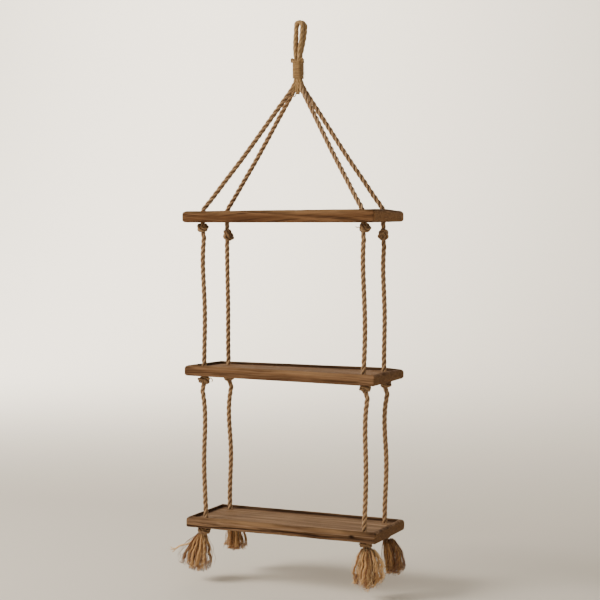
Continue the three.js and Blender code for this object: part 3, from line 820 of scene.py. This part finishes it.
def add_rope(name, line, material, nodes):
    """A whole three-strand rope as one closed twisted tube, with where each point lies in its lay.

    In the loop the strands are pressed flat and felted, so the section there is closer to a circle:
    it keeps 62 in a hundred of the grooves' depth.
    """
    ring = three_strand_ring(ROPE_SIDES)
    in_loop = smooth(line[:, 2], *FELTED_BETWEEN)
    kept = 1 - 0.38 * in_loop[:, None]
    walked = lengths_along(line)
    twist = 2 * np.pi * walked / ROPE_LAY
    points, faces, angle = tubes(line[None, :, :3], line[None, :, 3], 1 - (1 - ring) * kept, twist[None])
    flat = angle[0]
    lay = np.stack([np.cos(flat) * 6, np.sin(flat) * 6, np.broadcast_to(walked[:, None], flat.shape)], -1)
    strand = np.floor((np.arange(ROPE_SIDES) / ROPE_SIDES * 3 + 0.5) % 3)
    thin = np.repeat(line[:, 3] < KNOT_ROPE_RADIUS + 0.1, ROPE_SIDES)
    on_skin = {
        # How deep each point lies in a groove between strands; the finish darkens it as painted shade.
        "groove": ((1 - ring) / (1 - ring.min()) * kept).ravel(),
        "lay": lay.reshape(-1, 3),
        "strand": np.tile(strand, len(line)),
        # The knots under the boards, which the finish darkens as painted shade.
        "in_knot": (thin & (points[:-2, 2] < -300)).astype(float),
        "in_loop": np.repeat(in_loop, ROPE_SIDES),
    }
    at_ends = {"groove": [1, 1], "lay": [[0, 0, 0], [0, 0, walked[-1]]]}
    numbers = {
        label: np.concatenate([values, at_ends.get(label, [0, 0])]) for label, values in on_skin.items()
    }
    add_piece(name, points, faces, material, "rope", nodes, numbers)


def add_fuzz(line_list, material):
    """Fine loose fibres that leave the skin outwards and curl back; each line comes with its number."""
    source = np.random.default_rng(FUZZ_SEED)
    groups = []
    for line, count in line_list:
        pick = source.integers(6, len(line) - 6, count)
        across, over = carried_frames(line[None, :, :3])
        ahead = unit(np.gradient(line[:, :3], axis=0))[pick]
        out = around(across[0][pick], over[0][pick], source.uniform(0, 2 * np.pi, count))
        long = source.uniform(2.5, 7.5, (count, 1))
        way = source.choice([-1.0, 1.0], (count, 1))
        root = line[pick, :3] + out * line[pick, 3:4] * 0.7
        tip = root + out * long + ahead * way * long * source.uniform(0.2, 1.1, (count, 1))
        control = root + 0.4 * (tip - root) - 0.3 * ahead * way * long + source.normal(0, 0.8, (count, 3))
        waves = source.uniform(0.5, 1.5, count)
        groups.append(strand_lines(root, control, tip, np.full(count, 0.35), waves, source, 6))
    lines = np.concatenate(groups)
    count, stations, _ = lines.shape
    radii = 0.14 * np.linspace(1, 0.4, stations) * np.ones((count, 1))
    points, faces, _ = tubes(lines, radii, np.ones(3), np.zeros((count, stations)))
    tones = per_point(source.uniform(0.4, 1, count), stations, 3)
    numbers = {"tone": tones, "down": np.ones(len(points))}
    add_piece("rope_fuzz", points, faces, material, "rope", (), numbers)


def twine_tube(line, radius):
    """One length of two-ply twine."""
    line = spaced(line, max(int(lengths_along(line)[-1] / 1.6), 8))
    return single_tube(line, np.full(len(line), radius), 0.13, TWINE_LAY)


def binding_turns():
    """The binding's twine: close turns that wander a little, then a collar.

    The collar is three turns that dip at the front and back, as z = level + 3 cos(2 angle), and two
    turns tilted against each other over them.
    """
    turns = (BINDING_TOP - COLLAR_HEIGHT - BINDING_BOTTOM - 2 * TWINE_RADIUS) / TWINE_PITCH
    angle = np.linspace(0, 2 * np.pi * turns, int(turns * 180))
    z = np.linspace(BINDING_BOTTOM + TWINE_RADIUS, BINDING_TOP - COLLAR_HEIGHT - TWINE_RADIUS, len(angle))
    z = z + 0.35 * np.sin(angle * 0.83) + 0.3 * np.sin(angle * 2.21 + 1.0)
    lengths = [(binding_line((angle, z), BOUND_ROPE_RADIUS + 2.1), TWINE_RADIUS)]
    angle = np.linspace(0.02, 2 * np.pi - 0.02, 180)
    for lower in (1.6, 4.0, 6.4):
        z = BINDING_TOP - 3.4 - lower + 3.0 * np.cos(2 * angle)
        lengths.append((binding_line((angle, z), BOUND_ROPE_RADIUS + 2.4), 1.35))
    for tilt_at in (0.5, math.pi - 0.5):
        z = np.full(180, BINDING_TOP - COLLAR_HEIGHT / 2 - 2.0)
        lengths.append((binding_line((angle, z), BOUND_ROPE_RADIUS + 3.2, 3.2, tilt_at), 1.2))
    return lengths


def binding_ends(knot):
    """The collar's two small knots, and what hangs from the binding between the legs."""
    lengths = []
    for side in (-1, 1):
        small = knot[np.abs(knot[:, 2]) < 1.9] * [2.6, 2.2, 3.2]
        place = [side * (BUNDLE_OFFSET + BOUND_ROPE_RADIUS + 4.0), BINDING_Y - 6.5, BINDING_TOP - 5.0]
        lengths.append((small + place, 1.5))
    stub = smooth_line([[3.5, -18.5, -121], [4.2, -19, -134], [4.6, -20, -147], [3.0, -20.5, -162]], 1.0)
    turn = 2 * np.pi * lengths_along(stub) / 30
    for third in range(3):
        angle = turn + 2 * np.pi * third / 3
        beside = np.stack([np.cos(angle), np.sin(angle), np.zeros(len(stub))], 1)
        lengths.append((stub + 2.4 * beside, 2.4))
    for first, last, low in ((1.5, -8.0, -154), (3.0, -2.5, -158), (6.0, 9.5, -158), (7.5, 16.0, -161)):
        way_out = [[first, -19.5, -122], [0.8 * first + 0.2 * last, -20, -134]]
        lengths.append((smooth_line([*way_out, [last, -21.5, low + 2], [last, -21.5, low]], 1.0), 2.4))
    curl = [[0, -22, -152], [-1, -23, -161], [-4, -24, -168], [-8.5, -25, -166]]
    lengths.append((smooth_line([*curl, [-9, -25, -160.5], [-5, -25, -160]], 0.8), 1.1))
    return lengths


def add_binding(knot, material):
    """The binding under the loop as one piece."""
    points, faces = joined(twine_tube(*length) for length in binding_turns() + binding_ends(knot))
    add_piece("twine_binding", points, faces, material, "twine", ["binding"], {})


def add_stray_yarn(material):
    """The loose yarn of the front left tassel: it leaves the neck to the left and splits near its tip."""
    neck = tassel_neck("front_left")
    route = [[0, 0, -1], [-6, -1, -5], [-17, -4, -14], [-34, -6, -26], [-52, -7, -31], [-67, -8, -40]]
    main = smooth_line(np.array(route) + neck, 1.5)
    main[:, 1] += 0.7 * np.sin(np.arange(len(main)) * 0.55)
    lengths = [(main, 2.7)]
    splits = [
        [[-74, -9, -40], [-81, -8, -37]],
        [[-71, -7, -45], [-76, -9, -49]],
        [[-75, -6, -43], [-82, -7, -44]],
    ]
    for ends in splits:
        split = np.array([[-62, -8, -37], [-67, -8, -40], *ends]) + neck
        lengths.append((smooth_line(split, 1.5), 1.3))
    parts = []
    for line, radius in lengths:
        walked = lengths_along(line)
        parts.append(single_tube(line, radius * (1 - 0.25 * walked / walked[-1]), 0.16, 9))
    points, faces = joined(parts)
    numbers = {"tone": np.full(len(points), 0.85), "down": np.full(len(points), 0.6)}
    add_piece("stray_yarn", points, faces, material, "tassel", ["stray_yarn_front_left"], numbers)


def add_loose_ends(material):
    """Two short loose strands that stand out of knots, each a smooth line from inside its knot."""
    ends = {
        ("front_left", "middle"): [
            [6, -3, 4], [15.4, -4, 6.9], [22, -5, 5.2], [24.5, -5, 1.7], [22.5, -5, -2],
        ],
        ("front_right", "top"): [[-3, -7, -2], [-6, -10, 1], [-9, -11, 0], [-12, -11, 2.5]],
    }
    parts = []
    for (leg, board), offsets in ends.items():
        side, y, _ = LEGS[leg]
        centre = [side * HOLE_OUT_X, y, knot_top(leg, board) - KNOTS[leg, board][1] / 2]
        parts.append(twine_tube(smooth_line(np.array(offsets) + centre, 0.8), 1.1))
    points, faces = joined(parts)
    numbers = {"tone": np.full(len(points), 0.6), "down": np.full(len(points), 0.6)}
    add_piece("loose_ends", points, faces, material, "rope", (), numbers)


# Finishes


class Finish:
    """A material and short ways to add its nodes."""

    def __init__(self, name):
        self.material = bpy.data.materials.new(name)
        self.material.use_nodes = True
        self.tree = self.material.node_tree
        self.shader = self.tree.nodes["Principled BSDF"]

    def node(self, kind, **settings):
        made = self.tree.nodes.new(kind)
        for label, value in settings.items():
            setattr(made, label, value)
        return made

    def join(self, source, target):
        self.tree.links.new(source, target)

    def attribute(self, name, output="Fac"):
        return self.node("ShaderNodeAttribute", attribute_name=name).outputs[output]

    def position(self):
        return self.node("ShaderNodeTexCoord").outputs["Object"]

    def noise(self, source, scale, detail, rough, bend=0.0, place=(0, 0, 0)):
        """A noise pattern whose coordinates are scaled by a different amount each way."""
        mapping = self.node("ShaderNodeMapping")
        mapping.inputs["Scale"].default_value = scale
        mapping.inputs["Location"].default_value = place
        self.join(source, mapping.inputs["Vector"])
        made = self.node("ShaderNodeTexNoise")
        numbers = {"Scale": 1.0, "Detail": detail, "Roughness": rough, "Distortion": bend}
        for label, number in numbers.items():
            made.inputs[label].default_value = number
        self.join(mapping.outputs["Vector"], made.inputs["Vector"])
        return made.outputs["Fac"]

    def ramp(self, value, stops):
        made = self.node("ShaderNodeValToRGB")
        band = made.color_ramp
        while len(band.elements) < len(stops):
            band.elements.new(0.5)
        for element, (place, colour) in zip(band.elements, stops):
            element.position = place
            element.color = (*colour, 1.0)
        self.join(value, made.inputs["Fac"])
        return made.outputs["Color"]

    def span(self, value, low, high, out_low=0.0, out_high=1.0):
        """The value's range from low to high stretched onto another range."""
        made = self.node("ShaderNodeMapRange")
        numbers = {"From Min": low, "From Max": high, "To Min": out_low, "To Max": out_high}
        for label, number in numbers.items():
            made.inputs[label].default_value = number
        self.join(value, made.inputs["Value"])
        return made.outputs["Result"]

    def math(self, kind, first, second):
        made = self.node("ShaderNodeMath", operation=kind)
        for place, value in enumerate((first, second)):
            if isinstance(value, (int, float)):
                made.inputs[place].default_value = value
            else:
                self.join(value, made.inputs[place])
        return made.outputs["Value"]

    def blend(self, amount, first, second, kind="MIX"):
        made = self.node("ShaderNodeMix", data_type="RGBA", blend_type=kind)
        for socket, value in ((made.inputs[0], amount), (made.inputs[6], first), (made.inputs[7], second)):
            if isinstance(value, (int, float)):
                socket.default_value = value
            elif isinstance(value, tuple):
                socket.default_value = (*value, 1.0)
            else:
                self.join(value, socket)
        return made.outputs[2]

    def bump(self, height, strength, distance, over=None):
        made = self.node("ShaderNodeBump")
        made.inputs["Strength"].default_value = strength
        made.inputs["Distance"].default_value = distance
        self.join(height, made.inputs["Height"])
        if over is not None:
            self.join(over, made.inputs["Normal"])
        return made.outputs["Normal"]

    def finish(self, colour, rough, normal, settings):
        """Joins the colour, the roughness and the bumps to the shader, with its plain settings."""
        for label, value in settings.items():
            self.shader.inputs[label].default_value = value
        self.join(colour, self.shader.inputs["Base Color"])
        if isinstance(rough, (int, float)):
            self.shader.inputs["Roughness"].default_value = rough
        else:
            self.join(rough, self.shader.inputs["Roughness"])
        self.join(normal, self.shader.inputs["Normal"])
        return self.material


def worn_wood(name, slope, place, tint, contrast, valley, end):
    """Stained softwood, brushed, with wear: long streaks along X, dark grain lines and paler edges, painted
    shade along the tray's walls and painted light on the tray's floor.
    """

    def tinted(*colour):
        return tuple(value * share for value, share in zip(colour, tint))

    wood = Finish(name)
    sloped = wood.node("ShaderNodeMapping")
    sloped.inputs["Rotation"].default_value = (0, slope, 0)
    wood.join(wood.position(), sloped.inputs["Vector"])
    where = sloped.outputs["Vector"]
    broad = wood.noise(where, (3.2, 42, 42), 3.0, 0.55, 0.35, place)
    streak = wood.noise(where, (7, 210, 210), 5.0, 0.62, 0.25, place)
    fibre = wood.noise(where, (34, 1500, 1500), 3.0, 0.6, 0.0, place)
    blot = wood.noise(where, (9, 16, 16), 3.0, 0.5, 0.0, place)
    base = wood.ramp(broad, [
        (0.28, tinted(0.062, 0.027, 0.010)),
        (0.46, tinted(0.132, 0.064, 0.025)),
        (0.60, tinted(0.188, 0.098, 0.042)),
        (0.78, tinted(0.268, 0.152, 0.070)),
    ])
    line = wood.span(streak, 0.53, 0.41, 0.0, contrast)
    colour = wood.blend(line, base, (0.026, 0.0095, 0.003))
    grain = wood.attribute("grain")
    colour = wood.blend(wood.span(grain, -0.15, -1.1, 0.0, valley), colour, (0.020, 0.0075, 0.0025))
    colour = wood.blend(wood.span(grain, 0.35, 1.3, 0.0, 0.5), colour, tinted(0.300, 0.172, 0.080))
    colour = wood.blend(wood.span(blot, 0.48, 0.72, 0.0, 0.35), colour, tinted(0.21, 0.108, 0.046))
    colour = wood.blend(wood.span(fibre, 0.35, 0.7, 0.0, 0.35), colour, (0.050, 0.020, 0.006))
    colour = wood.blend(wood.attribute("scar"), colour, (0.018, 0.007, 0.0025))
    # Painted light: the tray's floor is made paler away from its walls.
    painted_floor_light = wood.math("MULTIPLY", wood.attribute("floor"), 0.18)
    colour = wood.blend(painted_floor_light, colour, tinted(0.34, 0.19, 0.078))
    wear = wood.math("MULTIPLY", wood.attribute("wear"), wood.span(blot, 0.35, 0.6, 0.05, 0.4))
    colour = wood.blend(wear, colour, (0.33, 0.19, 0.085))
    rings = wood.noise(where, (60, 120, 330), 3.0, 0.6, 0.8, place)
    end_colour = wood.ramp(rings, [
        (0.30, (0.090 * end, 0.044 * end, 0.018 * end)),
        (0.70, (0.215 * end, 0.112 * end, 0.048 * end)),
    ])
    colour = wood.blend(wood.attribute("end"), colour, end_colour)
    # Painted shade along the tray's walls.
    painted_wall_shade = wood.math("MULTIPLY", wood.attribute("painted_wall_shade"), 0.7)
    colour = wood.blend(painted_wall_shade, colour, (0.018, 0.007, 0.0025))
    rough = wood.span(streak, 0.3, 0.7, 0.9, 0.72)
    lines = wood.bump(streak, 0.5, 0.0012)
    normal = wood.bump(fibre, 0.35, 0.0005, lines)
    return wood.finish(colour, rough, normal, {"Specular IOR Level": 0.1})


def laid_rope(name):
    """Jute rope: tan strands with painted shade in the grooves and on the knots under the boards, fibres
    that run along the rope, and paler stray fibres.
    """
    rope = Finish(name)
    lay = rope.attribute("lay", "Vector")
    groove = rope.attribute("groove")
    strand = rope.attribute("strand")
    fibre = rope.noise(lay, (1.5, 1.5, 0.16), 4.0, 0.6)
    patch = rope.noise(lay, (0.10, 0.10, 0.035), 3.0, 0.5)
    base = rope.ramp(fibre, [
        (0.30, (0.140, 0.066, 0.026)),
        (0.44, (0.300, 0.168, 0.076)),
        (0.57, (0.470, 0.295, 0.150)),
        (0.72, (0.730, 0.520, 0.300)),
    ])
    colour = rope.blend(rope.span(patch, 0.42, 0.7, 0.0, 0.5), base, (0.30, 0.165, 0.075))
    colour = rope.blend(rope.span(strand, 0.0, 2.0, 0.0, 0.22), colour, (0.27, 0.150, 0.070))
    # Painted shade in the grooves between the strands.
    colour = rope.blend(rope.span(groove, 0.30, 0.95, 0.0, 0.94), colour, (0.045, 0.018, 0.006))
    # Painted shade on the knots under the boards.
    knot_shade = rope.math("MULTIPLY", rope.attribute("in_knot"), 0.25)
    colour = rope.blend(knot_shade, colour, (0.10, 0.045, 0.016))
    golden = rope.math("MULTIPLY", rope.attribute("in_loop"), rope.span(fibre, 0.3, 0.65, 0.75, 0.35))
    colour = rope.blend(golden, colour, (0.370, 0.228, 0.085))
    settings = {"Specular IOR Level": 0.2, "Sheen Weight": 0.18, "Sheen Roughness": 0.5}
    return rope.finish(colour, 0.88, rope.bump(fibre, 0.7, 0.0009), settings)


def wound_twine(name):
    """Thin jute twine, wound close: fine fibres and small changes of tone from turn to turn."""
    twine = Finish(name)
    turn = twine.noise(twine.position(), (30, 30, 480), 2.0, 0.5)
    fibre = twine.noise(twine.position(), (1500, 1500, 1500), 3.0, 0.6)
    base = twine.ramp(fibre, [
        (0.32, (0.200, 0.105, 0.036)),
        (0.52, (0.390, 0.235, 0.092)),
        (0.72, (0.600, 0.410, 0.190)),
    ])
    colour = twine.blend(twine.span(turn, 0.4, 0.66, 0.0, 0.55), base, (0.190, 0.092, 0.032))
    settings = {"Specular IOR Level": 0.2, "Sheen Weight": 0.15}
    return twine.finish(colour, 0.9, twine.bump(fibre, 0.5, 0.0004), settings)


def loose_yarn(name):
    """Unlaid jute yarns: golden to brown from yarn to yarn, darker at the root with painted shade under the
    knot, paler at some tips.
    """
    yarn = Finish(name)
    tone = yarn.attribute("tone")
    down = yarn.attribute("down")
    fibre = yarn.noise(yarn.position(), (900, 900, 120), 3.0, 0.6)
    mixed = yarn.math("ADD", yarn.math("MULTIPLY", tone, 0.8), yarn.math("MULTIPLY", fibre, 0.3))
    base = yarn.ramp(mixed, [
        (0.15, (0.120, 0.046, 0.016)),
        (0.42, (0.300, 0.135, 0.048)),
        (0.70, (0.590, 0.335, 0.130)),
        (0.95, (0.850, 0.570, 0.280)),
    ])
    # Painted shade at the tassel's root, under its knot.
    colour = yarn.blend(yarn.span(down, 0.0, 0.25, 0.38, 0.0), base, (0.080, 0.032, 0.010))
    settings = {"Specular IOR Level": 0.25, "Sheen Weight": 0.2}
    return yarn.finish(colour, 0.8, yarn.bump(fibre, 0.5, 0.0004), settings)


# The shelf

for board, settings in WOODS.items():
    wood = worn_wood(f"wood_{board}", GRAIN_SLOPE[board], **settings)
    points, walls, caps, height = board_mesh(board)
    shape = (points, [walls, caps])
    piece = add_piece(f"{board}_tray_board", *shape, wood, "wood", [f"board_{board}"], {"grain": height})
    cut(piece, drills(board))
    piece.data.shade_smooth()
    piece.data.set_sharp_from_angle(angle=math.radians(SHARP_FROM))
    set_numbers(piece.data, board_numbers(piece.data, board))

overhand = tightened_knot()
rope_finish = laid_rope("jute_rope")
yarn_finish = loose_yarn("jute_yarn")
twine_finish = wound_twine("jute_twine")
rope_lines = {name: rope_line(name, overhand) for name in ("front", "rear")}
for name, line in rope_lines.items():
    nodes = [f"rope_loop_{name}"]
    for leg in (f"{name}_left", f"{name}_right"):
        nodes += [f"rope_{part}_{leg}" for part in ("slant", "entry", "run_middle", "run_bottom")]
        nodes += [f"knot_{board}_{leg}" for board in BOARD_CENTRES_Z]
    add_rope(f"{name}_rope", line, rope_finish, nodes)
bound = np.array([[0, BINDING_Y, z, BUNDLE_RADIUS] for z in (BINDING_BOTTOM, BINDING_TOP)])
hairy = [(line, FUZZ_ON_ROPE) for line in rope_lines.values()]
add_fuzz([*hairy, (spaced(bound, 40), FUZZ_ON_BINDING)], yarn_finish)
add_binding(overhand, twine_finish)
for leg in LEGS:
    add_tassel(leg, yarn_finish)
add_stray_yarn(yarn_finish)
add_loose_ends(yarn_finish)


# Floor and light


def add_floor():
    """A wide pale floor just under the tassels that sweeps up far behind into a pale backdrop."""
    across = np.linspace(-9, 9, 3)
    bend = np.linspace(0, math.pi / 2, 17)
    deep = np.concatenate([[-8.0], 4.0 + 3.0 * np.sin(bend), [7.0]])
    high = np.concatenate([[0.0], 3.0 * (1 - np.cos(bend)), [9.0]]) + FLOOR_LEVEL
    points = np.stack([np.tile(across, len(deep)), np.repeat(deep, 3), np.repeat(high, 3)], 1)
    row = np.arange(len(deep) * 3).reshape(-1, 3)
    faces = np.stack([row[:-1, :-1], row[:-1, 1:], row[1:, 1:], row[1:, :-1]], -1).reshape(-1, 4)
    pale = Finish("pale_floor")
    pale.shader.inputs["Base Color"].default_value = (0.72, 0.665, 0.575, 1)
    pale.shader.inputs["Roughness"].default_value = 0.9
    floor = mesh_object("floor", points, [faces])
    floor.data.materials.append(pale.material)


def add_light(name, place, aim, size, power, colour):
    """A square soft light that faces its aim."""
    data = bpy.data.lights.new(name, "AREA")
    data.shape = "SQUARE"
    data.size = size
    data.energy = power
    data.color = colour
    lamp = linked(name, data)
    lamp.location = place
    back = np.array(place) - np.array(aim)
    yaw = math.atan2(back[0], -back[1])
    tip = math.atan2(math.hypot(back[0], back[1]), back[2])
    lamp.rotation_euler = (tip, 0, yaw)


add_floor()
add_light("window", (-3.0, -2.2, 1.3), (0, -0.05, -0.7), 1.8, 235, (1.0, 0.95, 0.87))
add_light("fill", (2.8, -2.6, 0.2), (0, -0.05, -0.75), 2.5, 14, (0.95, 0.97, 1.0))
add_light("backdrop", (-4.2, 2.4, 2.6), (-4.6, 6.0, 0.6), 3.2, 1000, (1.0, 0.97, 0.92))
world = bpy.data.worlds.new("room")
world.use_nodes = True
backdrop = world.node_tree.nodes["Background"]
backdrop.inputs["Color"].default_value = (0.92, 0.875, 0.81, 1)
backdrop.inputs["Strength"].default_value = 0.52
bpy.context.scene.world = world
